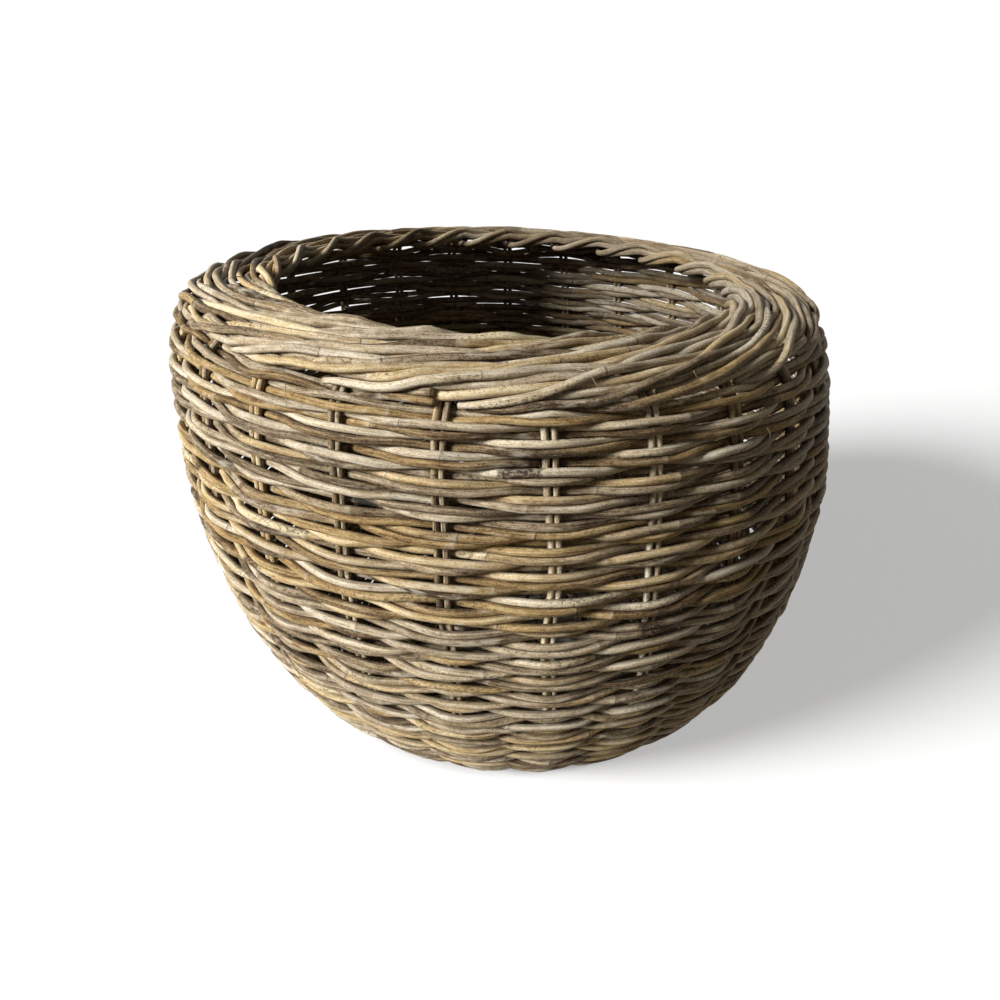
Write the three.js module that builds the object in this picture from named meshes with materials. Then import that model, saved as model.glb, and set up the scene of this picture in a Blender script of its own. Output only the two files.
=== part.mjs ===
// Round basket of grey rattan: pot-bellied wall, wide rolled border, flat woven base.
// Millimetres, +Z up, front towards -Y. Angles run from the front towards the right-hand side.
import * as THREE from 'three'

// Overall shape, measured to the outside of the canes
const height = 456.5
const bellyRadius = 325
const bellyHeight = 274
const footRadius = 212
const shoulderInset = 22 // from the belly's radius in to the shoulder's
const shoulderDrop = 32.5 // from the rim down to the shoulder
const mouthRadius = 224
const leanShare = -0.03 // how far the wall leans sideways, as a share of the height
const rimTilt = -0.035 // how far the rim drops for each mm to the right

// The wall between foot, belly and shoulder, as shares of the way from one to the next
const lowerHeightShares = [0.099, 0.332, 0.668]
const lowerRadiusShares = [0.221, 0.602, 0.894]
const upperHeightShares = [0.436, 0.788]
const upperRadiusShares = [0.238, 0.619]
// The rolled top between shoulder and mouth
const topRadiusShares = [0.25, 0.54, 0.8]
const topHeightShares = [0.6, 0.88, 0.985]

// Canes: each solid strand stands for two canes of 6 mm that lie side by side
const sticksPerGroup = 6 // base sticks in each of the two crossed groups
const stakeWidth = 10.8
const stakeThickness = 5.2
const weaverHeight = 9
const weaverThickness = 5.2
const rowGap = 0.8
const stickWidth = 5.5
const clearance = 0.4
const firstStakeAngle = -8.15 // degrees from the front

// Wall weaving
const firstRowRise = 12 // from the bend of the stakes up to the first row
const turnsPerStrand = 3
const spliceGap = 3
const stakeSag = 0.4 // how far a straight stretch of a stake may stand off the round wall

// Border: each pair of stakes turns sideways at the mouth and runs outwards round the shoulder
const tailGap = 1.6 // between one tail and the next
const borderWidth = 62 // along the wall line, from the mouth out to the ends of the tails
const borderSense = -1 // -1 sweeps the tails clockwise seen from above, 1 the other way
const bendReach = 17

// Base
const stickGap = 1
const tieReach = 8
const kneeReach = 14
const fanRadius = 74
const weaveStart = 8 // from the fan of the sticks out to the first base row
const footWaleTurns = 3
const footLap = 52
const baseWaleTurns = 2
const tipInset = 11

// Each base stick carries a stake pair at both ends, and the half stick one more: an odd number,
// so that the weaving changes sides by itself on each turn
const stakeCount = sticksPerGroup * 4 + 1
const spacing = (Math.PI * 2) / stakeCount
const weaverPitch = weaverHeight + rowGap
const tailStep = stakeWidth + tailGap
const tailSpacings = Math.round(borderWidth / tailStep)
const firstStake = THREE.MathUtils.degToRad(firstStakeAngle)
const stakeAngle = (index) => firstStake + index * spacing

// How far a weaver has to stand off, so that its straight run to the next stake clears this one.
// steepness is 1 on an upright wall, where the run cuts inside the round, and 0 on the flat base.
function standOffs(radius, carrierWidth, carrierThickness, steepness) {
  const arc = radius * spacing
  const edge = carrierWidth / 2
  const near = (carrierThickness + weaverThickness) / 2 + clearance + stakeSag
  const reach = edge / arc
  const slope = (2 * near * reach) / (1 - 2 * reach)
  const sag = (steepness * (arc - edge) * edge) / (2 * radius)
  return { outside: near + slope + sag, inside: Math.max(near + slope - sag, near) }
}

// Wall line: through the middle of the stakes, from the foot to the mouth
const wallOffs = standOffs(bellyRadius, stakeWidth, stakeThickness, 1)
const wallHalf = wallOffs.outside + weaverThickness / 2
const topRadius = mouthRadius + stakeWidth / 2
const shoulderRadius = bellyRadius - shoulderInset
const shoulderHeight = height - shoulderDrop

function outerPoints() {
  const points = [new THREE.Vector2(footRadius, 0)]
  for (const [i, share] of lowerHeightShares.entries()) {
    const radius = THREE.MathUtils.lerp(footRadius, bellyRadius, lowerRadiusShares[i])
    points.push(new THREE.Vector2(radius, bellyHeight * share))
  }
  points.push(new THREE.Vector2(bellyRadius, bellyHeight))
  for (const [i, share] of upperHeightShares.entries()) {
    const radius = THREE.MathUtils.lerp(bellyRadius, shoulderRadius, upperRadiusShares[i])
    points.push(new THREE.Vector2(radius, THREE.MathUtils.lerp(bellyHeight, shoulderHeight, share)))
  }
  points.push(new THREE.Vector2(shoulderRadius, shoulderHeight))
  for (const [i, share] of topRadiusShares.entries()) {
    const radius = THREE.MathUtils.lerp(shoulderRadius, topRadius, share)
    const z = THREE.MathUtils.lerp(shoulderHeight, height, topHeightShares[i])
    points.push(new THREE.Vector2(radius, z))
  }
  points.push(new THREE.Vector2(topRadius, height))
  return points
}

const outerCurve = new THREE.SplineCurve(outerPoints())
const wallSamples = 60
const knotSamples = 400
const halvings = 30
const wallCurve = new THREE.SplineCurve(
  Array.from({ length: wallSamples + 1 }, (_, i) => {
    const share = i / wallSamples
    const point = outerCurve.getPointAt(share)
    const along = outerCurve.getTangentAt(share)
    return new THREE.Vector2(point.x - along.y * wallHalf, point.y + along.x * wallHalf)
  }),
)
const wallLength = wallCurve.getLength()

// A point of the basket from its angle, its length along the wall line and its offset outwards
function onWall(angle, along, out) {
  const share = THREE.MathUtils.clamp(along / wallLength, 0, 1)
  const point = wallCurve.getPointAt(share)
  const direction = wallCurve.getTangentAt(share)
  const past = along - share * wallLength
  const radius = point.x + direction.x * past + direction.y * out
  const z = point.y + direction.y * past - direction.x * out
  return atRadius(angle, radius, z)
}

function atRadius(angle, radius, z) {
  const x = radius * Math.sin(angle)
  const y = -radius * Math.cos(angle)
  return new THREE.Vector3(x + leanShare * (z - bellyHeight), y, z + (rimTilt * x * z) / height)
}

// One closed body through rings of points, all with the same number of points
function skin(rings, isLoop) {
  const sides = rings[0].length
  const position = rings.flat().flatMap((point) => point.toArray())
  const index = []
  const joins = isLoop ? rings.length : rings.length - 1
  for (let ring = 0; ring < joins; ring += 1) {
    const here = ring * sides
    const next = ((ring + 1) % rings.length) * sides
    for (let side = 0; side < sides; side += 1) {
      const turn = (side + 1) % sides
      index.push(here + side, next + side, next + turn)
      index.push(here + side, next + turn, here + turn)
    }
  }
  if (!isLoop) {
    const last = (rings.length - 1) * sides
    for (let side = 1; side < sides - 1; side += 1) {
      index.push(0, side, side + 1)
      index.push(last, last + side + 1, last + side)
    }
  }
  if (signedVolume(position, index) < 0) index.reverse()
  const geometry = new THREE.BufferGeometry()
  geometry.setAttribute('position', new THREE.Float32BufferAttribute(position, 3))
  geometry.setIndex(index)
  geometry.computeVertexNormals()
  return geometry
}

function signedVolume(position, index) {
  const corner = (i) => new THREE.Vector3().fromArray(position, index[i] * 3)
  let total = 0
  for (let i = 0; i < index.length; i += 3) {
    total += corner(i).dot(corner(i + 1).cross(corner(i + 2)))
  }
  return total
}

const basket = new THREE.Group()

function addPiece(name, geometry, color) {
  const material = new THREE.MeshStandardMaterial({ color, roughness: 0.72, metalness: 0 })
  const mesh = new THREE.Mesh(geometry, material)
  mesh.name = name
  basket.add(mesh)
}

const weaverColors = [0xa39272, 0x9a8460, 0xb3a486, 0x8c7c62]
const stakeColor = 0x9c8a68
const baseColor = 0x92815f

const numbered = (name, index) => `${name}_${String(index + 1).padStart(2, '0')}`

// A strand section: half its thickness in and out, half its height along the wall line
function wallSection(angle, along, out, tall, thick) {
  return [
    onWall(angle, along - tall / 2, out - thick / 2),
    onWall(angle, along - tall / 2, out + thick / 2),
    onWall(angle, along + tall / 2, out + thick / 2),
    onWall(angle, along + tall / 2, out - thick / 2),
  ]
}

// Heights of the base layers, from the floor up
const weaveStartRadius = fanRadius + weaveStart
const baseOffs = standOffs(weaveStartRadius - weaverHeight / 2, stickWidth, stickWidth, 0)
const spokeHeight = baseOffs.outside + weaverThickness / 2 + clearance
const footWaleHeight = spokeHeight - stickWidth / 2 - clearance
const lapHeight = spokeHeight + (stickWidth + stakeThickness) / 2 + clearance
const waleHeight = lapHeight + (stakeThickness + weaverThickness) / 2 + clearance

// Where the wall line crosses the height of the stakes' feet
function lengthAtHeight(z) {
  let low = 0
  let high = wallLength / 2
  for (let i = 0; i < halvings; i += 1) {
    const middle = (low + high) / 2
    if (wallCurve.getPointAt(middle / wallLength).y < z) low = middle
    else high = middle
  }
  return low
}
const footBend = lengthAtHeight(lapHeight)
const bendRadius = wallCurve.getPointAt(footBend / wallLength).x

// Wall weavers: one climbing spiral, spliced from strands of three turns
const borderFoot = wallLength - tailStep * tailSpacings - stakeWidth / 2
const firstRow = footBend + firstRowRise
const lastRow = borderFoot - weaverHeight / 2 - clearance
const strandCount = Math.floor((lastRow - firstRow) / weaverPitch / turnsPerStrand)
const pitch = (lastRow - firstRow) / (strandCount * turnsPerStrand)

function wallWeaver(strand) {
  const stepCount = turnsPerStrand * stakeCount
  const firstStep = strand * stepCount
  const rings = []
  for (let step = firstStep; step <= firstStep + stepCount; step += 1) {
    const along = firstRow + (pitch * step) / stakeCount
    const radius = wallCurve.getPointAt(along / wallLength).x
    const steepness = wallCurve.getTangentAt(along / wallLength).y
    const offs = standOffs(radius, stakeWidth, stakeThickness, steepness)
    const out = step % 2 === 0 ? -offs.inside : offs.outside
    // the two ends stop short of each other beside their stake
    const short = spliceGap / 2 / radius
    const nudge = step === firstStep ? short : step === firstStep + stepCount ? -short : 0
    rings.push(wallSection(stakeAngle(step) + nudge, along, out, weaverHeight, weaverThickness))
  }
  return skin(rings, false)
}

for (let strand = 0; strand < strandCount; strand += 1) {
  const color = weaverColors[strand % weaverColors.length]
  addPiece(numbered('wall_weaver', strand), wallWeaver(strand), color)
}

// Places along the wall line where the stakes turn, so that no straight stretch sags too far
function knotsAlong(from, to) {
  const knots = [from]
  const step = (to - from) / knotSamples
  let last = from
  for (let along = from + step; along < to; along += step) {
    const turn = directionAt(along) - directionAt(last)
    if ((Math.abs(turn) * (along - last)) / 8 > stakeSag) {
      knots.push(along)
      last = along
    }
  }
  return knots
}

function directionAt(along) {
  return wallCurve.getTangentAt(along / wallLength).angle()
}

const stakeKnots = knotsAlong(footBend, wallLength - bendReach)

// Stake pairs: foot on the base, up the wall, over the mouth and round the shoulder
const tailOut = stakeThickness + clearance + mouthRadius * (1 - Math.cos(spacing / 4)) + clearance

// The bend at the mouth: shares of a spacing, of the bend's reach and of the tail's offset
const bendAngleShares = [0, 0.02, 0.1, 0.26, 0.5]
const bendAlongShares = [1, 0.5, 0.16, 0, 0.2]
const bendOutShares = [0, 0, 0.12, 0.7, 1]

function stakePath(index) {
  const angle = stakeAngle(index)
  const sweep = borderSense * spacing
  const path = []
  for (const along of stakeKnots) path.push({ angle, along, out: 0 })
  for (const [i, share] of bendAngleShares.entries()) {
    const along = wallLength - bendReach * bendAlongShares[i]
    path.push({ angle: angle + sweep * share, along, out: tailOut * bendOutShares[i] })
  }
  for (let half = 2; half <= tailSpacings * 2; half += 1) {
    const along = wallLength - (tailStep * half) / 2
    path.push({ angle: angle + (sweep * half) / 2, along, out: tailOut })
  }
  return path
}

function stakePair(index) {
  const path = stakePath(index)
  const angle = stakeAngle(index)
  const points = path.map((spot) => onWall(spot.angle, spot.along, spot.out))
  const outward = path.map((spot) => onWall(spot.angle, spot.along, spot.out + stakeThickness))
  points.unshift(atRadius(angle, bendRadius - footLap, lapHeight))
  outward.unshift(atRadius(angle, bendRadius - footLap, lapHeight - stakeThickness))
  const rings = points.map((point, i) => {
    const before = points[Math.max(i - 1, 0)]
    const after = points[Math.min(i + 1, points.length - 1)]
    const run = after.clone().sub(before).normalize()
    const up = outward[i].clone().sub(point).normalize()
    const side = new THREE.Vector3().crossVectors(up, run).normalize()
    const normal = new THREE.Vector3().crossVectors(run, side).normalize()
    const corners = [[-1, -1], [1, -1], [1, 1], [-1, 1]]
    return corners.map(([across, through]) =>
      point
        .clone()
        .addScaledVector(side, (across * stakeWidth) / 2)
        .addScaledVector(normal, (through * stakeThickness) / 2),
    )
  })
  return skin(rings, false)
}

for (let index = 0; index < stakeCount; index += 1) {
  addPiece(numbered('stake_pair', index), stakePair(index), stakeColor)
}

// A strand section on the flat base: wide along the radius, thick in height
function baseSection(angle, radius, z, wide, thick) {
  return [
    atRadius(angle, radius - wide / 2, z - thick / 2),
    atRadius(angle, radius + wide / 2, z - thick / 2),
    atRadius(angle, radius + wide / 2, z + thick / 2),
    atRadius(angle, radius - wide / 2, z + thick / 2),
  ]
}

// A flat spiral that widens by one pitch a turn, its height given for each step
function baseSpiral(startRadius, turns, thick, heightOf) {
  const rings = []
  for (let step = 0; step <= turns * stakeCount; step += 1) {
    const radius = startRadius + (weaverPitch * step) / stakeCount
    rings.push(baseSection(stakeAngle(step), radius, heightOf(step), weaverHeight, thick))
  }
  return skin(rings, false)
}

const footWaleStart = footRadius - weaverHeight / 2 - footWaleTurns * weaverPitch
const footWaleMiddle = footWaleHeight / 2
addPiece('foot_wale', baseSpiral(footWaleStart, footWaleTurns, footWaleHeight, () => footWaleMiddle), baseColor)

const baseWaleStart = bendRadius - footLap + weaverHeight
addPiece('base_wale', baseSpiral(baseWaleStart, baseWaleTurns, weaverThickness, () => waleHeight), baseColor)

const baseWeaveRoom = bendRadius - footLap - weaverHeight / 2 - clearance - weaveStartRadius
const baseWeaveTurns = Math.floor(baseWeaveRoom / weaverPitch)
const overUnder = (step) => spokeHeight + (step % 2 === 0 ? baseOffs.outside : -baseOffs.outside)
addPiece('base_weaver', baseSpiral(weaveStartRadius, baseWeaveTurns, weaverThickness, overUnder), baseColor)

// Base sticks: two groups crossed at the middle and fanned out to one spoke under each stake pair
const stickPitch = stickWidth + stickGap
const groupHalf = (stickPitch * sticksPerGroup) / 2
const crossHeight = spokeHeight + stickWidth + clearance
const tipRadius = footRadius - tipInset
const groupTurn = (group) => stakeAngle(group * sticksPerGroup + (sticksPerGroup - 1) / 2) - spacing / 4

function stickSolid(points) {
  const rings = points.map((point, i) => {
    const before = points[Math.max(i - 1, 0)]
    const after = points[Math.min(i + 1, points.length - 1)]
    const run = new THREE.Vector3(after.x - before.x, after.y - before.y, 0).normalize()
    const side = new THREE.Vector3(-run.y, run.x, 0).multiplyScalar(stickWidth / 2)
    const rise = new THREE.Vector3(0, 0, stickWidth / 2)
    return [
      point.clone().sub(side).sub(rise),
      point.clone().add(side).sub(rise),
      point.clone().add(side).add(rise),
      point.clone().sub(side).add(rise),
    ]
  })
  return skin(rings, false)
}

// A point of a crossed group: reach along the group's own axis, offset across it
function inGroup(turn, reach, offset, z) {
  return atRadius(turn + Math.atan2(offset, reach), Math.hypot(reach, offset), z)
}

for (const [group, z] of [spokeHeight, crossHeight].entries()) {
  const turn = groupTurn(group)
  for (let stick = 0; stick < sticksPerGroup; stick += 1) {
    const offset = (stick - (sticksPerGroup - 1) / 2) * stickPitch
    const knee = groupHalf + kneeReach
    const near = stakeAngle(group * sticksPerGroup + stick)
    const far = stakeAngle((group + 2) * sticksPerGroup + sticksPerGroup - 1 - stick)
    const points = [
      atRadius(near, tipRadius, spokeHeight),
      atRadius(near, fanRadius, spokeHeight),
      inGroup(turn, knee, offset, z),
      inGroup(turn, -knee, offset, z),
      atRadius(far, fanRadius, spokeHeight),
      atRadius(far, tipRadius, spokeHeight),
    ]
    addPiece(numbered('base_stick', group * sticksPerGroup + stick), stickSolid(points), baseColor)
  }
}

const halfStickAngle = stakeAngle(stakeCount - 1)
const halfStick = [
  atRadius(halfStickAngle, groupHalf + kneeReach + stickPitch, spokeHeight),
  atRadius(halfStickAngle, tipRadius, spokeHeight),
]
addPiece('base_half_stick', stickSolid(halfStick), baseColor)

// The tie round the crossing: over the lower group, under the upper one
const tieCorner = groupHalf + tieReach
const tieLow = spokeHeight
const tieHigh = crossHeight
const tieSpots = []
for (let side = 0; side < 4; side += 1) {
  const z = side % 2 === 0 ? tieHigh : tieLow
  const turn = groupTurn(side % 2) + (side > 1 ? Math.PI : 0)
  tieSpots.push({ turn, offset: -groupHalf, z })
  tieSpots.push({ turn, offset: groupHalf, z })
}
const tieRings = tieSpots.map(({ turn, offset, z }) => {
  const half = weaverThickness / 2
  return [
    inGroup(turn, tieCorner - half, offset, z - half),
    inGroup(turn, tieCorner + half, offset, z - half),
    inGroup(turn, tieCorner + half, offset, z + half),
    inGroup(turn, tieCorner - half, offset, z + half),
  ]
})
addPiece('base_tie', skin(tieRings, true), weaverColors[0])

export default basket
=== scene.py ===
import itertools
import math
import bpy
import numpy as np
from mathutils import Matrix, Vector


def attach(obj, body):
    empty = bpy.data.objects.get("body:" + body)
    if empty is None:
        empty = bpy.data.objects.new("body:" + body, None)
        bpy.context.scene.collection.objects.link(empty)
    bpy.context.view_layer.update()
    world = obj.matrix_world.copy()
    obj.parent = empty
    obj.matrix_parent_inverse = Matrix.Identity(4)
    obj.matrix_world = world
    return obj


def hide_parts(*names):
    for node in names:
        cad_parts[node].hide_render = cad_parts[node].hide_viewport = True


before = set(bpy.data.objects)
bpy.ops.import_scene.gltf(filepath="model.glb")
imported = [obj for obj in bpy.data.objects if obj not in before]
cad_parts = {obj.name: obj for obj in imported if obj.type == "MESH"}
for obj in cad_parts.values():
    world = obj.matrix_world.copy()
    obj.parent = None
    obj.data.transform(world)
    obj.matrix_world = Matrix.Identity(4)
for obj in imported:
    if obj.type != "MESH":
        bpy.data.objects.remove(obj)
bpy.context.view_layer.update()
scene = bpy.context.scene
seeded = np.random.default_rng
print("frame loaded:", len(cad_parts), "solids")

# the wall of the basket, in metres: angles run from the front towards the right-hand side

basket = {
    "height": 0.4565,
    "bellyRadius": 0.325,
    "bellyHeight": 0.274,
    "footRadius": 0.212,
    "shoulderInset": 0.022,
    "shoulderDrop": 0.0325,
    "mouthRadius": 0.224,
    "leanShare": -0.03,
    "rimTilt": -0.035,
    # points of the outline, as shares of the way from one corner to the next: radius and height
    "outline": (((0.221, 0.099), (0.602, 0.332), (0.894, 0.668)), ((0.238, 0.436), (0.619, 0.788)),
                ((0.25, 0.6), (0.54, 0.88), (0.8, 0.985))),
    "wallHalf": 0.01015,  # from the middle of the stakes to the outside of the weave
    "fullness": 0.0015,  # how far the round canes stand out to fill that
    # where the wall bags out: how far, its share by degrees from the front and by length up the wall
    "bags": (
        (0.008, ((-180, 0), (-100, 0.1), (-45, 0.4), (0, 0.4), (25, 0.8), (45, 1), (68, 1.05), (95, 0.5),
                 (130, 0.1), (180, 0)),
         ((0, 0), (0.025, 0.5), (0.055, 1), (0.12, 1), (0.19, 0.6), (0.27, 0.1), (0.3, 0))),
        (0.0075, ((-180, 0), (-135, 0.4), (-105, 0.9), (-75, 1), (-50, 0.4), (-30, 0), (180, 0)),
         ((0.32, 0), (0.37, 0.5), (0.41, 1), (0.44, 0.9), (0.465, 0.35), (0.485, 0))),
        (0.0045, ((-180, 0), (40, 0), (75, 1), (105, 1), (150, 0), (180, 0)),
         ((0.25, 0), (0.3, 0.8), (0.4, 1), (0.46, 1), (0.49, 0))),
    ),
    "lineKnots": 61,
    "stakeWidth": 0.0108,
    "stakeCount": 25,
    "firstStake": math.radians(-8.15),
}
stakeCount = basket["stakeCount"]
spacing = 2 * math.pi / stakeCount


def between(low, high, share):
    return low + (high - low) * share


def splineThrough(points, samples=6000):
    points = np.array(points, float)
    last = len(points) - 1
    place = np.linspace(0, last, samples)
    index = np.minimum(place.astype(int), last - 1)
    share = (place - index)[:, None]
    before, here = points[np.maximum(index - 1, 0)], points[index]
    after, beyond = points[np.minimum(index + 1, last)], points[np.minimum(index + 2, last)]
    leave, arrive = (after - before) / 2, (beyond - here) / 2
    return (
        (2 * here - 2 * after + leave + arrive) * share**3
        + (3 * after - 3 * here - 2 * leave - arrive) * share**2
        + leave * share
        + here
    )


def lengthsAlong(line):
    return np.r_[0, np.cumsum(np.linalg.norm(np.diff(line, axis=0), axis=1))]


def directionsOf(line):
    run = np.gradient(line, axis=0)
    return run / np.maximum(np.linalg.norm(run, axis=-1, keepdims=True), 1e-12)


def wallLineOf(b):
    corners = [
        (b["footRadius"], 0),
        (b["bellyRadius"], b["bellyHeight"]),
        (b["bellyRadius"] - b["shoulderInset"], b["height"] - b["shoulderDrop"]),
        (b["mouthRadius"] + b["stakeWidth"] / 2, b["height"]),
    ]
    points = [corners[0]]
    for low, high, shares in zip(corners, corners[1:], b["outline"]):
        points += [(between(low[0], high[0], r), between(low[1], high[1], z)) for r, z in shares]
        points.append(high)
    outer = splineThrough(points)
    along = lengthsAlong(outer)
    even = np.linspace(0, along[-1], b["lineKnots"])
    knots = np.column_stack([np.interp(even, along, outer[:, i]) for i in (0, 1)])
    run = directionsOf(outer)
    turn = np.column_stack([np.interp(even, along, run[:, i]) for i in (0, 1)])
    inward = np.column_stack([-turn[:, 1], turn[:, 0]])
    return splineThrough(knots + inward * b["wallHalf"])


wallLine = wallLineOf(basket)
wallAlong = lengthsAlong(wallLine)
wallRun = directionsOf(wallLine)
wallLength = wallAlong[-1]


def atRadius(angle, radius, z):
    x, y = radius * np.sin(angle), -radius * np.cos(angle)
    leaning = x + basket["leanShare"] * (z - basket["bellyHeight"])
    return np.stack([leaning, y, z + basket["rimTilt"] * x * z / basket["height"]], axis=-1)


def degreesFromFront(angle):
    return (np.degrees(angle) + 180) % 360 - 180


def onWall(angle, along, out):  # angle, length along the wall line and offset outwards
    share = np.clip(along, 0, wallLength)
    past = along - share
    facing = degreesFromFront(angle)
    out = out + basket["fullness"]
    for reach, turns, rises in basket["bags"]:
        out = out + reach * np.interp(facing, *zip(*turns)) * np.interp(share, *zip(*rises))
    r, z = (np.interp(share, wallAlong, wallLine[:, i]) for i in (0, 1))
    dr, dz = (np.interp(share, wallAlong, wallRun[:, i]) for i in (0, 1))
    return atRadius(angle, r + dr * past + dz * out, z + dz * past - dr * out)


def stakeAngle(index):
    return basket["firstStake"] + index * spacing


def drift(place, key, reach):  # slow seeded wander of about -1 to 1
    pick = seeded(key)
    waves, starts = reach * pick.uniform(0.7, 2.3, 5), pick.uniform(0, 2 * math.pi, 5)
    return sum(np.sin(2 * math.pi * place / w + s) for w, s in zip(waves, starts)) / 2.4


canes = []


def addCane(piece, line, radius, hold=1.0, tone=None, bark=None, fine=0.0055):
    # hold: how firmly a cane keeps its place when canes press on each other
    pick = seeded([11, len(canes)])
    canes.append({
        "piece": piece,
        "line": np.asarray(line, float),
        "radius": np.broadcast_to(radius, (len(line),)).astype(float).copy(),
        "hold": hold,
        "tone": pick.uniform(0, 1) if tone is None else tone,
        "seed": pick.uniform(0, 1),
        "bark": bark,
        "fine": fine,
    })


# base: crossed sticks, tie, pairs of weavers and the wales that clamp the stakes' feet

base = {
    "stickRadius": 0.0027,
    "sticksPerGroup": 6,
    "stickGap": 0.001,
    "stickPlay": 0.0001,
    "stickHold": 4,
    "halfStickStart": 0.0065,
    "spokeHeight": 0.01157,
    "crossHeight": 0.01747,
    "fanRadius": 0.074,
    "kneeReach": 0.014,
    "tipRadius": 0.201,
    "tieReach": 0.008,
    "tieThin": 0.95,
    "tieEnd": (0.93, 0.07),  # the ring closes just past its first point
    "weaveStart": 0.082,
    "weaveTurns": 9,
    "pitch": 0.0098,
    "weaverRadius": 0.00215,
    "weaverHold": 1.5,
    "pointsPerStep": 7,
    "swing": 0.0052,  # above and below the sticks
    "waleHeight": 0.0229,
    "waleTurns": 6,
    "waleInset": 0.0056,
    "waleThick": 1.15,
    "waleRise": 0.0008,
    "waleClimb": 1.6,  # turns of the wale that climb inside the stakes
    "footStart": 0.1781,
    "footTurns": 3,
    "footHeight": 0.0042,
    "footRadius": 0.0022,
    "footSwing": (0.0024, 0.0018),
    "lapHeight": 0.01732,
    "lap": 0.052,  # how far the stakes' feet reach in over the base
}


def bendPlace():  # where the wall line comes up through the height of the stakes' feet
    lower = wallAlong < wallLength / 2
    return float(np.interp(base["lapHeight"], wallLine[lower, 1], wallAlong[lower]))


footBend = bendPlace()
bendRadius = float(np.interp(footBend, wallAlong, wallLine[:, 0]))
groupHalf = (2 * base["stickRadius"] + base["stickPlay"] + base["stickGap"]) * base["sticksPerGroup"] / 2


def roundedLine(points, step=0.006, passes=10):
    points = np.array(points, float)
    along = lengthsAlong(points)
    even = np.linspace(0, along[-1], max(int(along[-1] / step), 4))
    line = np.column_stack([np.interp(even, along, points[:, i]) for i in range(points.shape[1])])
    for _ in range(passes):
        line[1:-1] = (line[:-2] + 2 * line[1:-1] + line[2:]) / 4
    return line


def groupTurn(group):
    middle = group * base["sticksPerGroup"] + (base["sticksPerGroup"] - 1) / 2
    return stakeAngle(middle) - spacing / 4


def inGroup(turn, reach, offset, z):
    return atRadius(turn + math.atan2(offset, reach), math.hypot(reach, offset), z)


def baseSticks():
    perGroup, z = base["sticksPerGroup"], base["spokeHeight"]
    knee = groupHalf + base["kneeReach"]
    for group, height in enumerate((z, base["crossHeight"])):
        for stick in range(perGroup):
            offset = (stick - (perGroup - 1) / 2) * groupHalf * 2 / perGroup
            near = stakeAngle(group * perGroup + stick)
            far = stakeAngle((group + 2) * perGroup + perGroup - 1 - stick)
            turn = groupTurn(group)
            points = [
                atRadius(near, base["tipRadius"], z),
                atRadius(near, base["fanRadius"], z),
                inGroup(turn, knee, offset, height),
                inGroup(turn, -knee, offset, height),
                atRadius(far, base["fanRadius"], z),
                atRadius(far, base["tipRadius"], z),
            ]
            name = f"base_stick_{group * perGroup + stick + 1:02d}"
            addCane(name, roundedLine(points), base["stickRadius"], base["stickHold"])
    angle = stakeAngle(stakeCount - 1)
    points = [atRadius(angle, reach, z) for reach in (knee + base["halfStickStart"], base["tipRadius"])]
    addCane("base_half_stick", roundedLine(points), base["stickRadius"], base["stickHold"])


def baseTie():
    corner = groupHalf + base["tieReach"]
    for strand in (-1, 1):
        points = []
        for side in range(4):
            z = base["crossHeight"] if side % 2 == 0 else base["spokeHeight"]
            turn = groupTurn(side % 2) + (math.pi if side > 1 else 0)
            for offset in (-groupHalf, groupHalf):
                points.append(inGroup(turn, corner + strand * base["weaverRadius"], offset, z))
        stay, pastStart = base["tieEnd"]
        points.append(points[0] * stay + points[1] * pastStart)
        addCane("base_tie", roundedLine(points, passes=3), base["weaverRadius"] * base["tieThin"])


def spiralSteps(turns):
    count = turns * stakeCount
    return np.linspace(0, count, int(count * base["pointsPerStep"]) + 1)


def baseSpiral(piece, start, turns, outOf, heightOf, radius):
    steps = spiralSteps(turns)
    for strand in (-1, 1):
        flat = start + base["pitch"] * steps / stakeCount + outOf(steps, strand)
        line = atRadius(stakeAngle(steps), flat, heightOf(steps, strand))
        addCane(piece, line, radius, base["weaverHold"])


def baseWale(radius):
    # the wale lies on the stakes' feet, and its last turns climb inside them up to the first row
    low, inset = wallAlong < wallLength / 2, base["waleInset"]
    inside = wallLine[low, 1] + wallRun[low, 0] * inset
    corner = float(np.interp(base["waleHeight"], inside, wallAlong[low]))
    cornerRadius = float(np.interp(corner, wallAlong, wallLine[:, 0] - wallRun[:, 1] * inset))
    steps = spiralSteps(base["waleTurns"])
    start = cornerRadius - base["pitch"] * (base["waleTurns"] - base["waleClimb"])
    for strand in (-1, 1):
        reach = start + base["pitch"] * steps / stakeCount + strand * radius * np.cos(math.pi * steps)
        height = base["waleHeight"] + base["waleRise"] * strand * np.sin(math.pi * steps)
        flat = atRadius(stakeAngle(steps), reach, height)
        past = np.maximum(reach - cornerRadius, 0)
        climbing = onWall(stakeAngle(steps), corner + past, -inset - basket["fullness"])
        line = np.where((reach < cornerRadius)[:, None], flat, climbing)
        addCane("base_wale", line, radius, base["weaverHold"])


def buildBase():
    baseSticks()
    baseTie()
    w = base["weaverRadius"]

    def swing(steps, strand):
        return base["spokeHeight"] + base["swing"] * np.cos(math.pi * steps)

    baseSpiral("base_weaver", base["weaveStart"], base["weaveTurns"], lambda s, k: k * w + 0 * s, swing, w)
    baseWale(w * base["waleThick"])
    # the foot is a rope of two canes coiled three times
    aside, up = base["footSwing"]
    baseSpiral("foot_wale", base["footStart"], base["footTurns"],
               lambda s, k: k * aside * np.cos(math.pi * s),
               lambda s, k: base["footHeight"] + k * up * np.sin(math.pi * s), base["footRadius"])
    print("base laid:", len(canes), "canes")


# wall weavers: pairs of canes in one climbing spiral, spliced behind the stakes

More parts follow.
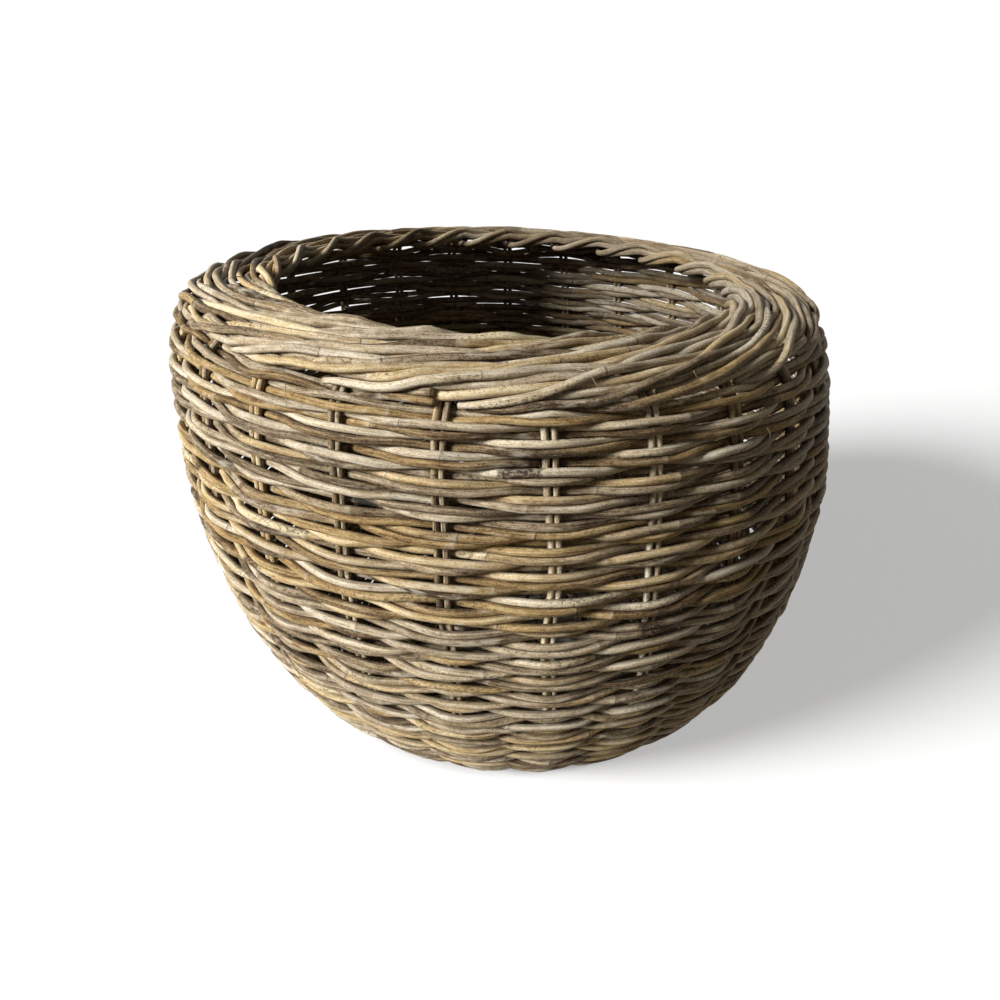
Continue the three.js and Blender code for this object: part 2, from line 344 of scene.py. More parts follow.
weave = {
    "firstRise": 0.012,  # from the bend of the stakes up to the first row
    "borderWidth": 0.062,
    "topRoom": 0.0103,
    "strands": 14,
    "turns": 3,
    "moreSteps": 25,  # the last strand runs on under the edge of the border
    "radii": (0.003, 0.0035),
    "swing": 0.0057,  # in front of and behind the stakes
    "halfAtStake": 0.0032,
    "halfBetween": 0.0025,
    "stagger": 0.0021,  # of the two canes between stakes
    "rowDrift": 0.001,
    "caneDrift": 0.0006,
    "spliceSteps": (26, 46),
    "spliceShift": (-3, 4),
    "shortest": 16,
    "overlap": (0.06, -0.02),  # in spacings, how far the ends run on, and the very first and last
    "bow": 0.12,
    "endsOut": (0.0032, -0.0006),  # how far in a start and an end lie
    "taper": 0.05,
    "thickerBehind": (1.05, 0.07),
    "pointsPerStep": 9,
    # stretches with bark on: degrees from the front, length up the wall, half width, 1 scaly or 2 smooth
    "barkSpots": ((4, 0.409, 5.0, 1), (15, 0.404, 5.0, 1), (-17.5, 0.375, 4.0, 2), (-30, 0.226, 5.0, 2),
                  (23, 0.274, 5.5, 1), (-38, 0.290, 3.5, 1), (-20, 0.262, 2.5, 1), (40, 0.349, 5.0, 1),
                  (-52, 0.35, 3.0, 1)),
    "barkHalf": 0.0042,
}
firstRow = footBend + weave["firstRise"]
lastRow = wallLength - weave["borderWidth"] - weave["topRoom"]
rowPitch = (lastRow - firstRow) / (weave["strands"] * weave["turns"])
stepsPerStrand = weave["turns"] * stakeCount
lastStep = weave["strands"] * stepsPerStrand + weave["moreSteps"]


def rowDrift(steps):  # rows dip and rise together, and change slowly from row to row
    pick = seeded(5)
    total = 0
    for waves in (1, 2, 3, 5, 8):
        rate = (waves + pick.uniform(-0.12, 0.12)) / stakeCount
        total = total + np.sin(2 * math.pi * (steps * rate + pick.uniform())) / (1 + 0.2 * waves)
    return total * weave["rowDrift"]


def splicePlaces():
    # each cane is cut at an even step, where it runs behind a stake
    places = []
    for side in (0, 1):
        pick = seeded([3, side])
        cuts = []
        for strand in range(weave["strands"]):
            limit = strand * stepsPerStrand
            if strand > 0:
                limit = 2 * round((limit + pick.integers(*weave["spliceShift"])) / 2)
            cuts.append(limit)
            place = limit + 2 * int(pick.integers(*weave["spliceSteps"]) / 2)
            while place < (strand + 1) * stepsPerStrand - weave["shortest"]:
                cuts.append(place)
                place += 2 * int(pick.integers(*weave["spliceSteps"]) / 2)
        cuts.append(lastStep)
        places.append(sorted(set(cuts)))
    return places


def barkOn(steps, along):  # stretches of this cane that have kept their dark bark
    facing = degreesFromFront(stakeAngle(steps))
    stretches = []
    for turn, rise, halfTurn, kind in weave["barkSpots"]:
        isNear = (np.abs(facing - turn) < halfTurn) & (np.abs(along - rise) < weave["barkHalf"])
        if isNear.any():
            stretches.append((int(isNear.argmax()), int(len(isNear) - isNear[::-1].argmax() - 1), kind))
    return stretches


def weaverCane(side, start, end, number):
    pick = seeded([7, side, number])
    inside, outermost = weave["overlap"]
    low = start - (inside if start > 0 else outermost)
    high = end + (inside if end < lastStep else outermost)
    steps = np.linspace(low, high, int((high - low) * weave["pointsPerStep"]))
    turn = np.cos(math.pi * steps)
    sideSign = 1 if side else -1
    near = turn**2
    half = between(weave["halfBetween"], weave["halfAtStake"], near)
    cane = weave["caneDrift"] * drift(steps, [8, side, number], 3.5)
    along = firstRow + rowPitch * steps / stakeCount + rowDrift(steps) + sideSign * half + cane
    out = -weave["swing"] * turn * (1 + weave["bow"] - weave["bow"] * near)
    out = out + sideSign * weave["stagger"] * (1 - near) * np.sign(drift(steps, [9], 9.0))
    for place, inwards in zip((start, end), weave["endsOut"]):
        if 0 < place < lastStep:
            out = out - np.clip(1 - np.abs(steps - place) / 0.5, 0, 1) * inwards
    radius = pick.uniform(*weave["radii"])
    taper = pick.uniform(-weave["taper"], weave["taper"])
    middle, more = weave["thickerBehind"]
    radius = radius * (middle - more * np.cos(stakeAngle(steps)))
    radii = radius * (1 + taper * np.linspace(-1, 1, len(steps)) + 0.02 * drift(steps, [10, number, side], 6))
    strand = min(int((start + end) / 2 // stepsPerStrand), weave["strands"] - 1)
    line = onWall(stakeAngle(steps), along, out)
    places = lengthsAlong(line)
    bark = [(places[low], places[high], kind) for low, high, kind in barkOn(steps, along)]
    addCane(f"wall_weaver_{strand + 1:02d}", line, radii, bark=bark)


def buildWeave():
    for side, cuts in enumerate(splicePlaces()):
        for number, (start, end) in enumerate(zip(cuts[:-1], cuts[1:])):
            weaverCane(side, start, end, number)
    print("wall woven:", len(canes), "canes")


# stakes and border: each pair goes up the wall, over the mouth and round the shoulder as a twist

border = {
    "laneOffset": 0.0031,
    "wobble": (0.0022, 0.0006, 0.0004),  # of a pair, of each cane sideways and of each cane outwards
    "radii": (0.00245, 0.00285),
    "hold": 3,
    "footScatter": 0.006,
    # the lane of a pair under the border: distance from the mouth and offset outwards
    "lane": ((0.062, 0), (0.05, -0.001), (0.04, -0.003), (0.03, -0.0055), (0.018, -0.008)),
    # the hook: spacings travelled, distance from the mouth and offset outwards
    "hook": ((0.03, 0.0095, -0.0098), (0.09, 0.0025, -0.0105), (0.2, -0.0035, -0.0098), (0.36, -0.007, -0.0072),
             (0.55, -0.008, -0.0035), (0.75, -0.0065, 0.0), (0.95, -0.0035, 0.003), (1.15, 0.0005, 0.0048)),
    "tailStart": (1.15, 0.0005),
    "tailStep": 0.11,
    "tailPitch": 0.0098,  # how far a tail moves outwards in one spacing
    "tailReach": (0.0665, 0.0565),  # down to the top row, which climbs once round
    "tailCrowd": 0.008,  # the last canes crowd together over this width
    "tailOut": ((-0.002, 0.0048), (0.012, 0.005), (0.035, 0.0064), (0.05, 0.0092), (0.07, 0.0112)),
    # how much higher the border lies, by distance from the mouth and by degrees from the front
    "bulge": ((-0.002, 0.0026), (0.012, 0.0034), (0.035, 0.003), (0.05, 0.0015), (0.06, 0.0015)),
    "bulgeTurns": ((-180, -1.2), (-140, -1.7), (-105, -2.2), (-80, -1.5), (-60, -0.1), (30, 0), (62, 0.3),
                   (85, -0.4), (110, -1.0), (140, -0.8), (180, -1.1)),
    "crest": ((-65, 0), (-50, 0.004), (-12, 0.0055), (15, 0.004), (40, 0)),  # higher on the front left
    "tuck": (0.01, 1.1, 1.5),  # how far a tail's end goes under its neighbours, over how many spacings
    "twistSide": 0.0038,
    "twistRise": 0.003,
    "twistFlat": 0.6,  # the two canes of a pair lie side by side and change places quickly
    "twistEarly": 0.26,
    "turning": (0.02, 0.4),  # spacings over which the pair turns from upright to flat
    "thicker": (0.1, 1.26),
    "tailEnd": ((0, 0.03), (0.7, 1)),  # how its cut end tapers
    "sway": 0.0017,
    "swayFrom": 0.8,
    "ends": (7.5, 9.0),
    "seam": (-78, 8),  # where many canes were cut, degrees from the front
    "seamFrom": 2.2,
    "seamShares": (0.6, 0.1),
}
torn = {
    # degrees from the front, distance from the mouth, length and stake pair
    "fibres": ((11, 0.044, 0.026, 2), (-72, 0.012, 0.014, 20), (-45, 0.055, 0.016, 22), (28, 0.05, 0.014, 3),
               (60, 0.02, 0.012, 5), (-30, 0.07, 0.015, 24), (-15, 0.12, 0.018, 25), (40, 0.1, 0.012, 4),
               (75, 0.06, 0.018, 6), (120, 0.05, 0.02, 9), (200, 0.06, 0.02, 15)),
    "radius": 0.00033,
    "start": 0.0095,
    "lift": 0.3,
    "curl": 0.25,
    "droop": 0.2,
    "hold": 0.01,
    "tone": 0.9,
    "wallRadius": 0.28,
}


def tailPath(index, strand):  # strand 1 is the cane on the downstream side, -1 the one behind it
    b = border
    pick = seeded([21, index, strand + 1])
    pairPick = seeded([22, index])
    angle = stakeAngle(index)
    end = pick.uniform(*b["ends"])
    seam, spread = b["seam"]
    seamAngle = math.radians(seam + pick.uniform(-spread, spread))
    turnsToSeam = ((angle - seamAngle) % (2 * math.pi)) / spacing
    isCut = b["seamFrom"] < turnsToSeam < end and pick.uniform() < b["seamShares"][0 if strand < 0 else 1]
    if isCut:
        end = turnsToSeam
    leave, leaveReach = b["tailStart"]
    travel = np.append(np.arange(leave + 0.12, end - 0.05, b["tailStep"]), end)
    reach = leaveReach + b["tailPitch"] * (travel - leave)
    climbed = ((angle - travel * spacing - basket["firstStake"]) / (2 * math.pi)) % 1
    full, crowd = between(*b["tailReach"], climbed), b["tailCrowd"]
    reach = np.where(reach < full - crowd, reach, full - crowd * np.exp((full - crowd - reach) / crowd))
    lift = np.interp(reach, *zip(*b["tailOut"]))
    facing = degreesFromFront(angle - travel * spacing)
    lift = lift + np.interp(reach, *zip(*b["bulge"])) * np.interp(facing, *zip(*b["bulgeTurns"]))
    lift = lift + np.interp(facing, *zip(*b["crest"])) * np.interp(reach, (-0.002, 0.02), (1, 0))
    if not isCut:
        depth, length, power = b["tuck"]
        lift = lift - depth * np.clip(1 - (end - travel) / length, 0, 1) ** power
    knots = np.array([(0, s, o) for s, o in b["lane"]] + list(b["hook"]) + list(zip(travel, reach, lift)))
    early = pairPick.uniform(-b["twistEarly"], b["twistEarly"])
    phase = math.pi / 2 * np.maximum(knots[:, 0] + early, 0)
    aside = np.tanh(b["twistFlat"] * np.cos(phase)) / math.tanh(b["twistFlat"])
    above = np.sign(np.sin(phase)) * (1 - aside**2)
    fromTurn, overTurn = b["turning"]
    turned = math.pi / 2 * np.clip((knots[:, 0] - fromTurn) / overTurn, 0, 1)
    sway = b["sway"] * drift(knots[:, 0], [23, index, strand + 1], 1.3)
    sway = sway * np.clip(knots[:, 0] - b["swayFrom"], 0, 1)
    s = knots[:, 1] + strand * np.sin(turned) * b["twistSide"] * aside + sway
    out = knots[:, 2] - strand * b["twistRise"] * above
    arc = -strand * b["laneOffset"] * np.cos(turned)
    return knots[:, 0], s, out, arc


def stakeCane(index, strand):
    angle, lane = stakeAngle(index), border["laneOffset"]
    pairWobble, caneWobble, outWobble = border["wobble"]
    pick = seeded([24, index, strand + 1])
    laneTop = wallLength - border["lane"][0][0]
    along = np.arange(footBend + 0.004, laneTop - 0.004, 0.009)
    radius = np.interp(along, wallAlong, wallLine[:, 0])
    wobble = pairWobble * drift(along, [25, index], 0.16)
    wobble = wobble + caneWobble * drift(along, [26, index, strand + 1], 0.12)
    arc = wobble - strand * lane
    wall = onWall(angle + arc / radius, along, outWobble * drift(along, [27, index, strand + 1], 0.1))
    inner = bendRadius - base["lap"] + pick.uniform(0, border["footScatter"])
    foot = np.arange(inner, bendRadius - 0.003, 0.009)
    feet = atRadius(angle - strand * lane * 0.8 / foot, foot, base["lapHeight"] + 0 * foot)
    travel, s, out, tailArc = tailPath(index, strand)
    tailRadius = np.interp(np.clip(wallLength - s, 0, wallLength), wallAlong, wallLine[:, 0])
    topArc = arc[-1] + strand * lane
    fade = np.clip((s - 0.02) / 0.04, 0, 1) * (travel == 0)
    tail = onWall(angle - travel * spacing + (tailArc + topArc * fade) / tailRadius, wallLength - s, out)
    line = evenly(np.vstack([feet, wall, tail]), 0.0085)
    radii = pick.uniform(*border["radii"]) * (1 + 0.03 * drift(np.arange(len(line)), [28, index, strand + 1], 40))
    tailLength = lengthsAlong(tail)[-1] + laneTop - along[-1]
    before = lengthsAlong(line)[-1] - lengthsAlong(line)
    over, thicker = border["thicker"]
    radii = radii * np.interp(before, (tailLength - over, tailLength), (thicker, 1))
    radii = radii * np.interp(before, *border["tailEnd"])
    addCane(f"stake_pair_{index + 1:02d}", line, radii, border["hold"], fine=0.0045)


def curveThrough(line, places):  # smooth curve through the points, read at lengths along them
    along = lengthsAlong(line)
    slope = np.gradient(line, along, axis=0)
    index = np.clip(np.searchsorted(along, places, "right") - 1, 0, len(line) - 2)
    size = (along[index + 1] - along[index])[:, None]
    share = ((places - along[index])[:, None]) / size
    a, b = line[index], line[index + 1]
    da, db = slope[index] * size, slope[index + 1] * size
    return (
        (2 * share**3 - 3 * share**2 + 1) * a
        + (share**3 - 2 * share**2 + share) * da
        + (3 * share**2 - 2 * share**3) * b
        + (share**3 - share**2) * db
    )


def evenly(line, step):
    length = lengthsAlong(line)[-1]
    return curveThrough(line, np.linspace(0, length, max(int(round(length / step)), 4) + 1))


def buildFibres():  # they stand off the canes
    pick = seeded(41)
    for turn, below, length, index in torn["fibres"]:
        angle = math.radians(turn)
        steps = np.linspace(0, 1, 12)
        side, rise = pick.uniform(-0.5, 0.5), pick.uniform(-1, 1)
        curl = length * (steps + torn["curl"] * side * np.sin(3 * steps))
        out = torn["start"] + torn["lift"] * length * np.sin(math.pi * 0.8 * steps) * pick.uniform(0.5, 1)
        s = below + rise * curl + torn["droop"] * length * steps**2
        line = onWall(angle + side * curl / torn["wallRadius"], wallLength - s, out)
        thin = torn["radius"] * (1.1 - 0.7 * steps)
        addCane(f"stake_pair_{index:02d}", line, thin, torn["hold"], tone=torn["tone"])


def buildStakes():
    for index in range(stakeCount):
        for strand in (1, -1):
            stakeCane(index, strand)
    buildFibres()
    print("stakes and border laid:", len(canes), "canes")


# settling: canes that would pass through each other are pushed apart until they touch

settling = {
    "rounds": 70,
    "quickRounds": 12,
    "reach": 0.0115,
    "ownPoints": 8,  # points of the same cane this near along it don't touch
    "relist": 7,
    "slip": (0.32, 0.0006),
    "push": 1.15,
    "crowding": 0.8,
    "passes": 2,
    "limit": 0.0012,
    "home": 0.012,
    "stiffness": (10, 0.12),
    "overFloor": (1.07, 0.0004),
}


def nearPairs(points, reach, owner, place):
    cell = np.floor((points - points.min(0)) / reach).astype(np.int64) + 1
    size = cell.max(0) + 2
    key = (cell[:, 0] * size[1] + cell[:, 1]) * size[2] + cell[:, 2]
    order = np.argsort(key, kind="stable")
    ranked = key[order]
    firsts, seconds = [], []
    for dx, dy, dz in itertools.product((-1, 0, 1), repeat=3):
        other = key + (dx * size[1] + dy) * size[2] + dz
        low, high = np.searchsorted(ranked, other, "left"), np.searchsorted(ranked, other, "right")
        count = high - low
        first = np.repeat(np.arange(len(points)), count)
        step = np.arange(count.sum()) - np.repeat(np.cumsum(count) - count, count)
        second = order[np.repeat(low, count) + step]
        apart = owner[first] != owner[second]
        apart |= np.abs(place[first] - place[second]) > settling["ownPoints"]
        first, second = first[apart], second[apart]
        close = ((points[first] - points[second]) ** 2).sum(1) < reach**2
        firsts.append(first[close])
        seconds.append(second[close])
    return np.concatenate(firsts), np.concatenate(seconds)


def settleCanes():
    counts = np.array([len(c["line"]) for c in canes])
    owner = np.repeat(np.arange(len(canes)), counts)
    place = np.concatenate([np.arange(n) for n in counts])
    radius = np.concatenate([c["radius"] for c in canes])
    hold = np.repeat([c["hold"] for c in canes], counts).astype(float)
    points = np.concatenate([c["line"] for c in canes])
    home = points.copy()
    size = len(points)
    isStart, isEnd = place == 0, np.r_[place[1:] == 0, True]
    before = np.where(isStart, np.arange(size), np.arange(size) - 1)
    after = np.where(isEnd, np.arange(size), np.arange(size) + 1)
    slipShare, slipRoom = settling["slip"]
    every, stiffness = settling["stiffness"]
    thickness, lift = settling["overFloor"]
    for turn in range(settling["rounds"]):
        if turn % settling["relist"] == 0:
            first, second = nearPairs(points, settling["reach"], owner, place)
            share = hold[second] / (hold[first] + hold[second])
        run = points[after] - points[before]
        length = np.linalg.norm(run, axis=1)
        run = run / np.maximum(length, 1e-9)[:, None]
        gap = points[first] - points[second]
        slip = (gap * run[second]).sum(1)
        side = gap - slip[:, None] * run[second]
        distance = np.maximum(np.linalg.norm(side, axis=1), 1e-6)
        overlap = radius[first] + radius[second] - distance
        touching = (overlap > 0) & (np.abs(slip) < slipShare * length[second] + slipRoom)
        a, b, s = first[touching], second[touching], share[touching]
        push = side[touching] * (overlap[touching] / distance[touching] * settling["push"])[:, None]
        move = np.zeros_like(points)
        weight = np.bincount(a, minlength=size) + np.bincount(b, minlength=size)
        for axis in range(3):
            move[:, axis] = np.bincount(a, push[:, axis] * s, size) - np.bincount(b, push[:, axis] * (1 - s), size)
        move /= np.maximum(weight, 1)[:, None] ** settling["crowding"]
        for _ in range(settling["passes"]):
            move = (move[before] + 2 * move + move[after]) / 4
        move = np.clip(move, -settling["limit"], settling["limit"])
        points += move + settling["home"] * (home - points)
        if turn % every == every - 1:
            # a little smoothing keeps the canes' own stiffness
            points += stiffness * ((points[before] + points[after]) / 2 - points) * (~isStart & ~isEnd)[:, None]
    deep = overlap[touching]
    print(f"canes settled: {len(deep)} contacts, mean overlap {deep.mean() * 1000:.2f} mm, "
          f"deepest {deep.max() * 1000:.2f} mm")
    for cane, line in zip(canes, np.split(points, np.cumsum(counts)[:-1])):
        line[:, 2] = np.maximum(line[:, 2], cane["radius"] * thickness + lift)
        cane["line"] = line


# cane skins: Geometry Nodes give each line its round, knuckled and cut skin

skin = {
    "knuckleGaps": (0.17, 0.36),
    "knuckleSwell": 0.065,
    "knuckleWidth": 0.0016,
    "knuckleRings": (-0.0036, -0.0013, 0, 0.0011, 0.003),
    "knuckleRoom": 0.0042,
    "endRoom": 0.012,  # no knuckle this near an end
    "chamfer": 0.0005,
    "chamferRoom": 0.0015,
    "chamferRadius": 0.86,
    "barkFade": 0.012,
    "farOff": 0.05,
    "wallSides": 8,
    "borderSides": 10,
    "lump": 0.00064,
    "middle": (0, 0, 0.24),
}


class Nodes:  # adds nodes to one tree, with sockets or plain values as their inputs
    def __init__(self, tree):
        self.tree = tree
        tree.nodes.clear()

    def add(self, kind, inputs=None, **settings):
        node = self.tree.nodes.new(kind)
        for name, value in settings.items():
            setattr(node, name, value)
        for name, value in (inputs or {}).items():
            if isinstance(value, bpy.types.NodeSocket):
                self.tree.links.new(value, node.inputs[name])
            else:
                node.inputs[name].default_value = value
        return node

    def math(self, operation, a, b=0.0, c=0.0):
        return self.add("ShaderNodeMath", {0: a, 1: b, 2: c}, operation=operation).outputs[0]

    def times(self, a, b, plus=None):
        return self.math("MULTIPLY", a, b) if plus is None else self.math("MULTIPLY_ADD", a, b, plus)

    def vector(self, operation, a, b=(0, 0, 0)):
        second = "Scale" if operation == "SCALE" else 1
        node = self.add("ShaderNodeVectorMath", {0: a, second: b}, operation=operation)
        return node.outputs["Value" if operation in ("DOT_PRODUCT", "LENGTH") else "Vector"]

    def upright(self, height):
        return self.add("ShaderNodeCombineXYZ", {"Z": height}).outputs[0]

    def read(self, name, output="Fac"):
        return self.add("ShaderNodeAttribute", attribute_name=name).outputs[output]

    def span(self, value, low, high, toLow=0.0, toHigh=1.0):
        ends = {"Value": value, "From Min": low, "From Max": high, "To Min": toLow, "To Max": toHigh}
        return self.add("ShaderNodeMapRange", ends, interpolation_type="SMOOTHSTEP").outputs[0]

    def ramp(self, value, stops):
        node = self.add("ShaderNodeValToRGB", {"Fac": value})
        elements = node.color_ramp.elements
        while len(elements) < len(stops):
            elements.new(0.5)
        for element, (place, color) in zip(elements, stops):
            element.position = place
            element.color = (*color, 1)
        return node.outputs["Color"]

    def mix(self, share, *colors):
        first, second = ((*c, 1) if isinstance(c, tuple) else c for c in colors)
        return self.add("ShaderNodeMix", {0: share, 6: first, 7: second}, data_type="RGBA").outputs[2]

    def noise(self, vector, scale, detail, roughness=0.5):
        inputs = {"Vector": vector, "Scale": scale, "Detail": detail, "Roughness": roughness}
        return self.add("ShaderNodeTexNoise", inputs).outputs[0]


def addObject(name, data):
    thing = bpy.data.objects.new(name, data)
    scene.collection.objects.link(thing)
    return thing


def makeSkinTree():
    tree = bpy.data.node_groups.new("cane skin", "GeometryNodeTree")
    n = Nodes(tree)

    def named(name, kind="FLOAT"):
        return n.add("GeometryNodeInputNamedAttribute", {"Name": name}, data_type=kind).outputs[0]

    def store(geometry, name, value, kind):
        return n.add("GeometryNodeStoreNamedAttribute", {"Geometry": geometry, "Name": name, "Value": value},
                     data_type=kind, domain="POINT").outputs[0]

    for name, kind in (("Geometry", "Geometry"), ("Sides", "Int"), ("Lump", "Float"), ("Cane", "Material"),
                       ("Cut end", "Material")):
        tree.interface.new_socket(name, in_out="INPUT", socket_type="NodeSocket" + kind)
    tree.interface.new_socket("Geometry", in_out="OUTPUT", socket_type="NodeSocketGeometry")
    given = n.add("NodeGroupInput").outputs
    curve = n.add("GeometryNodeMeshToCurve", {"Mesh": given["Geometry"]})
    ring = n.add("GeometryNodeCurvePrimitiveCircle", {"Resolution": given["Sides"], "Radius": 1.0})
    spot, normal = n.add("GeometryNodeInputPosition").outputs[0], n.add("GeometryNodeInputNormal").outputs[0]
    marked = store(ring.outputs["Curve"], "ring", spot, "FLOAT_VECTOR")
    tube = n.add("GeometryNodeCurveToMesh", {"Curve": curve.outputs[0], "Profile Curve": marked,
                                             "Scale": named("caneRadius"), "Fill Caps": True})
    # slow lumps along the cane, so that no cane is a perfect tube
    shift = n.times(named("seed"), 40.0, n.times(named("along"), 55.0))
    lump = n.noise(n.vector("ADD", named("ring", "FLOAT_VECTOR"), n.upright(shift)), 0.9, 1.5)
    lump = n.times(n.math("SUBTRACT", lump, 0.5), given["Lump"])
    lumpy = n.add("GeometryNodeSetPosition",
                  {"Geometry": tube.outputs[0], "Offset": n.vector("SCALE", normal, lump)})
    corners = n.add("GeometryNodeInputMeshFaceNeighbors").outputs["Vertex Count"]
    isCap = n.add("FunctionNodeCompare", {2: corners, 3: 4}, data_type="INT", operation="GREATER_THAN").outputs[0]
    isSide = n.add("FunctionNodeBooleanMath", {0: isCap}, operation="NOT").outputs[0]
    smooth = n.add("GeometryNodeSetShadeSmooth",
                   {"Geometry": lumpy.outputs[0], "Selection": isSide, "Shade Smooth": True}).outputs[0]
    # how far each face looks outwards, which the cane look uses for painted shade on inner faces and in creases
    away = n.vector("NORMALIZE", n.vector("SUBTRACT", spot, skin["middle"]))
    faced = store(smooth, "outside", n.vector("DOT_PRODUCT", away, normal), "FLOAT")
    real = n.add("GeometryNodeRealizeInstances", {"Geometry": faced})
    clad = n.add("GeometryNodeSetMaterial", {"Geometry": real.outputs[0], "Material": given["Cane"]})
    ends = n.add("GeometryNodeSetMaterial",
                 {"Geometry": clad.outputs[0], "Selection": isCap, "Material": given["Cut end"]})
    n.add("NodeGroupOutput", {"Geometry": ends.outputs[0]})
    return tree


def caneWire(cane):  # points of one cane with its knuckles and cut ends
    pick = seeded([31, int(cane["seed"] * 1e9)])
    line, along = cane["line"], lengthsAlong(cane["line"])
    length, endRoom = along[-1], skin["endRoom"]
    gaps = pick.uniform(*skin["knuckleGaps"], 40)
    knuckles = np.cumsum(gaps) - pick.uniform(0.02, gaps[0])
    knuckles = knuckles[(knuckles > endRoom) & (knuckles < length - endRoom)]
    places = np.linspace(0, length, max(int(length / cane["fine"]), 3))
    if len(knuckles):
        nearest = np.abs(places[:, None] - knuckles[None, :]).min(1)
        places = places[nearest > skin["knuckleRoom"]]
        places = np.r_[places, (knuckles[:, None] + np.array(skin["knuckleRings"])).ravel()]
    room, chamfer = skin["chamferRoom"], skin["chamfer"]
    places = places[(places > room) & (places < length - room)]
    places = np.sort(np.r_[places, 0, chamfer, length - chamfer, length])
    points = curveThrough(line, places)
    radius = np.interp(places, along, cane["radius"])
    count = len(places)
    offset = np.full(count, 1.0)
    if len(knuckles):
        offset = places[:, None] - knuckles[None, :]
        offset = offset[np.arange(count), np.abs(offset).argmin(1)]
    stretch = pick.uniform(0, 1, len(knuckles) + 1)[np.searchsorted(knuckles, places)]
    radius = radius * (1 + skin["knuckleSwell"] * np.exp(-((offset / skin["knuckleWidth"]) ** 2)))
    tip = np.minimum(places, length - places)
    radius = radius * np.where(tip < 1e-6, skin["chamferRadius"], 1)
    bark = np.zeros(count)
    for low, high, kind in cane["bark"] or ():
        inside = np.minimum(places - low, high - places) / skin["barkFade"]
        bark = np.maximum(bark, kind * np.clip(inside, 0, 1))
    return points, {
        "caneRadius": radius,
        "along": places,
        "knot": np.clip(offset, -skin["farOff"], skin["farOff"]),
        "tip": np.minimum(tip, skin["farOff"]),
        "seed": np.full(count, cane["seed"]),
        "tone": np.full(count, cane["tone"]),
        "stretch": stretch,
        "bark": bark,
    }


def skinPiece(name, group, tree, sides, caneLook, cutLook):
    lines, marks = zip(*(caneWire(c) for c in group))
    points = np.concatenate(lines)
    first = np.delete(np.arange(len(points)), np.cumsum([len(line) for line in lines]) - 1)
    wire = bpy.data.meshes.new(name + " wire")
    wire.from_pydata(points.tolist(), np.column_stack([first, first + 1]).tolist(), [])
    for key in marks[0]:
        layer = wire.attributes.new(key, "FLOAT", "POINT")
        layer.data.foreach_set("value", np.concatenate([mark[key] for mark in marks]).astype(np.float32))
    piece = addObject(name, wire)
    modifier = piece.modifiers.new("cane skin", "NODES")
    modifier.node_group = tree
    values = {"Sides": sides, "Lump": skin["lump"], "Cane": caneLook, "Cut end": cutLook}
    for item in tree.interface.items_tree:
        if item.in_out == "INPUT" and item.name in values:
            modifier[item.identifier] = values[item.name]
    shown = bpy.context.evaluated_depsgraph_get()
    mesh = bpy.data.meshes.new_from_object(piece.evaluated_get(shown), depsgraph=shown)
    piece.modifiers.remove(modifier)
    piece.data = mesh
    mesh.name = name
    bpy.data.meshes.remove(wire)
    return piece


# materials: weathered grey-brown rattan, drawn along each cane

look = {
    "caneRadius": 0.003,
    # how fine each pattern is across and along a cane per metre, its start, detail and roughness
    "patterns": {
        "fibre": (700.0, 11.0, 3.1, 5.0, 0.65),
        "dash": (1150.0, 170.0, 5.3, 3.0, 0.6),
        "mottle": (260.0, 70.0, 7.7, 4.0, 0.6),
        "patch": (70.0, 7.5, 12.3, 2.0, 0.5),
        "speck": (900.0, 620.0, 19.9, 1.0, 0.5),
        "scale": (420.0, 300.0, 27.1, 5.0, 0.7),
    },
    "lightness": 0.64,
    "lightFrom": {"stretch": 0.36, "tone": 0.46, "patch": 0.85, "mottle": 0.75, "fibre": 1.25, "dash": 0.75,
                  "speck": 0.7},
    "greys": ((0.0, (0.040, 0.026, 0.015)), (0.25, (0.135, 0.094, 0.055)), (0.5, (0.355, 0.272, 0.170)),
              (0.75, (0.62, 0.51, 0.355)), (1.0, (0.85, 0.77, 0.62))),
    "honeys": ((0.0, (0.042, 0.022, 0.009)), (0.25, (0.150, 0.086, 0.034)), (0.5, (0.385, 0.252, 0.104)),
               (0.75, (0.62, 0.45, 0.22)), (1.0, (0.82, 0.69, 0.45))),
    # marks in the order that they are laid: where each begins and is full, its strength and colour
    "marks": {
        "pale": (0.62, 0.8, 0.4, (0.70, 0.63, 0.51)),
        "flakes": (0.50, 0.58, 0.62, (0.085, 0.055, 0.033)),
        "dots": (0.61, 0.69, 0.75, (0.055, 0.033, 0.018)),
        "dashes": (0.58, 0.69, 0.6, (0.10, 0.06, 0.032)),
        "stain": (0.84, 0.96, 0.6, (0.070, 0.047, 0.030)),
        "paleBand": (-0.008, -0.001, 0.3, (0.66, 0.58, 0.45)),
        "darkBand": (0.0, 0.0012, 0.4, (0.13, 0.08, 0.042)),
        "knuckle": (0.00025, 0.0011, 0.85, (0.045, 0.026, 0.015)),
        "bark": (0.8, 1.3, 0.6, (0.11, 0.065, 0.038)),
        "scaly": (0.44, 0.54, 0.85, (0.024, 0.014, 0.009)),
        "smooth": (1.2, 1.7, 0.9, (0.022, 0.024, 0.026)),
        "worn": (0.0, 0.006, 0.3, (0.12, 0.08, 0.05)),
    },
    "innerShadeShare": 0.56,  # painted shade on faces that look in, and in creases between canes
    "creaseShadeShare": 0.5,
    # the dark brown of that painted shade
    "paintedShade": (0.045, 0.034, 0.024),
    "bump": (0.45, 0.0008),
    "shine": 0.08,
    "endColors": ((0.30, 0.22, 0.13), (0.66, 0.57, 0.42)),
    "endAged": (0.22, 0.15, 0.085),
    "endSkin": (0.16, 0.105, 0.06),
}


def startLook(name):
    material = bpy.data.materials.new(name)
    material.use_nodes = True
    return material, Nodes(material.node_tree)


